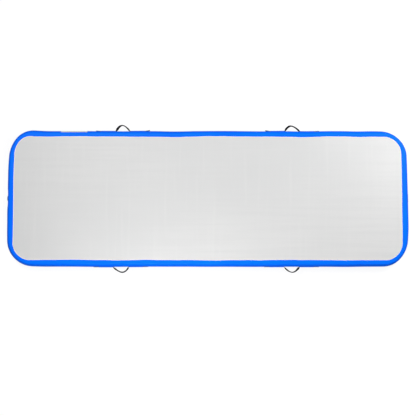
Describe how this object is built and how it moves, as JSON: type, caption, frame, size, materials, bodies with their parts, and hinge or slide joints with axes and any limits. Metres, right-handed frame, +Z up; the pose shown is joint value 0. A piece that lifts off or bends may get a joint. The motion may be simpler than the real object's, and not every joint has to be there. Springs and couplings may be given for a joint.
{
  "type": "inflatable tumbling mat",
  "caption": "Long low inflatable mat with a pale embossed top, a blue bulging side wall, webbing carry loops on both long sides and an inflation valve in one end.",
  "frame": {"origin": "middle of the bottom sheet's flat underside, on the floor", "axes": "+X along the length, away from the valve end; +Y across the width, towards the labelled side; +Z up"},
  "size_m": [3.0049, 1.1115, 0.1],
  "materials": {
    "sheet_fabric": "satin, fine embossed linen grain over drop-stitch dimples",
    "wall_fabric": "satin coated fabric, faint weave",
    "drop_yarn": "matt thread",
    "webbing": "woven nylon, matt",
    "label_film": "satin film, blank",
    "valve_plastic": "fine moulded texture",
    "cap_plastic": "fine moulded texture",
    "rubber": "matt",
    "spring_steel": "drawn wire"
  },
  "bodies": {
    "root": {"top_sheet": "sheet_fabric", "bottom_sheet": "sheet_fabric", "inner_side_wall": "wall_fabric", "outer_side_wall": "wall_fabric", "side_wall_joint_cover": "wall_fabric", "label_patch": "label_film", "valve_wall_patch": "wall_fabric", "valve_outer_gasket": "rubber", "valve_body": "valve_plastic", "valve_inner_gasket": "rubber", "valve_clamp_nut": "valve_plastic", "valve_spring": "spring_steel", "valve_tether_base_ring": "rubber", "valve_tether_strap": "rubber", "drop_stitch_row_1": "drop_yarn", "drop_stitch_row_2": "drop_yarn", "drop_stitch_row_3": "drop_yarn", "drop_stitch_row_4": "drop_yarn", "drop_stitch_row_5": "drop_yarn", "drop_stitch_row_6": "drop_yarn", "drop_stitch_row_7": "drop_yarn", "handle_back_left_strap_left": "webbing", "handle_back_left_patch_left": "wall_fabric", "handle_back_left_strap_right": "webbing", "handle_back_left_patch_right": "wall_fabric", "handle_back_right_strap_left": "webbing", "handle_back_right_patch_left": "wall_fabric", "handle_back_right_strap_right": "webbing", "handle_back_right_patch_right": "wall_fabric", "handle_front_left_strap_left": "webbing", "handle_front_left_patch_left": "wall_fabric", "handle_front_left_strap_right": "webbing", "handle_front_left_patch_right": "wall_fabric", "handle_front_right_strap_left": "webbing", "handle_front_right_patch_left": "wall_fabric", "handle_front_right_strap_right": "webbing", "handle_front_right_patch_right": "wall_fabric"},
    "loop_back_left": {"handle_back_left_loop": "webbing"},
    "loop_back_right": {"handle_back_right_loop": "webbing"},
    "loop_front_left": {"handle_front_left_loop": "webbing"},
    "loop_front_right": {"handle_front_right_loop": "webbing"},
    "plunger_slide": {"valve_spring_collar": "valve_plastic"},
    "plunger": {"valve_stem": "valve_plastic", "valve_diaphragm": "rubber", "valve_backing_washer": "valve_plastic"},
    "cap_lift": {"valve_tether_cap_ring": "rubber"},
    "cap": {"valve_cap": "cap_plastic", "valve_cap_seal": "rubber"}
  },
  "joints": [
    {"name": "handle_back_left_flop", "type": "hinge", "parent": "root", "child": "loop_back_left", "pos_m": [-0.64, 0.5255, 0.05], "axis": [1, 0, 0], "range_deg": [-80, 80], "stiffness_Nm_per_rad": 0.1},
    {"name": "handle_back_right_flop", "type": "hinge", "parent": "root", "child": "loop_back_right", "pos_m": [0.639, 0.5255, 0.05], "axis": [1, 0, 0], "range_deg": [-80, 80], "stiffness_Nm_per_rad": 0.1},
    {"name": "handle_front_left_flop", "type": "hinge", "parent": "root", "child": "loop_front_left", "pos_m": [-0.646, -0.5255, 0.05], "axis": [-1, 0, 0], "range_deg": [-80, 80], "stiffness_Nm_per_rad": 0.1},
    {"name": "handle_front_right_flop", "type": "hinge", "parent": "root", "child": "loop_front_right", "pos_m": [0.625, -0.5255, 0.05], "axis": [-1, 0, 0], "range_deg": [-80, 80], "stiffness_Nm_per_rad": 0.1},
    {"name": "valve_plunger_press", "type": "slide", "parent": "root", "child": "plunger_slide", "axis": [1, 0, 0], "range_m": [0, 0.004], "stiffness_N_per_m": 500, "springref_m": -0.002, "deforming": ["valve_spring"]},
    {"name": "valve_plunger_turn", "type": "hinge", "parent": "plunger_slide", "child": "plunger", "pos_m": [-1.48, 0, 0.045], "axis": [1, 0, 0], "range_deg": [0, 90]},
    {"name": "valve_cap_pull", "type": "slide", "parent": "root", "child": "cap_lift", "axis": [-1, 0, 0], "range_m": [0, 0.025], "deforming": ["valve_tether_strap"]},
    {"name": "valve_cap_turn", "type": "hinge", "parent": "cap_lift", "child": "cap", "pos_m": [-1.48, 0, 0.045], "axis": [-1, 0, 0], "range_deg": [0, 90]}
  ]
}
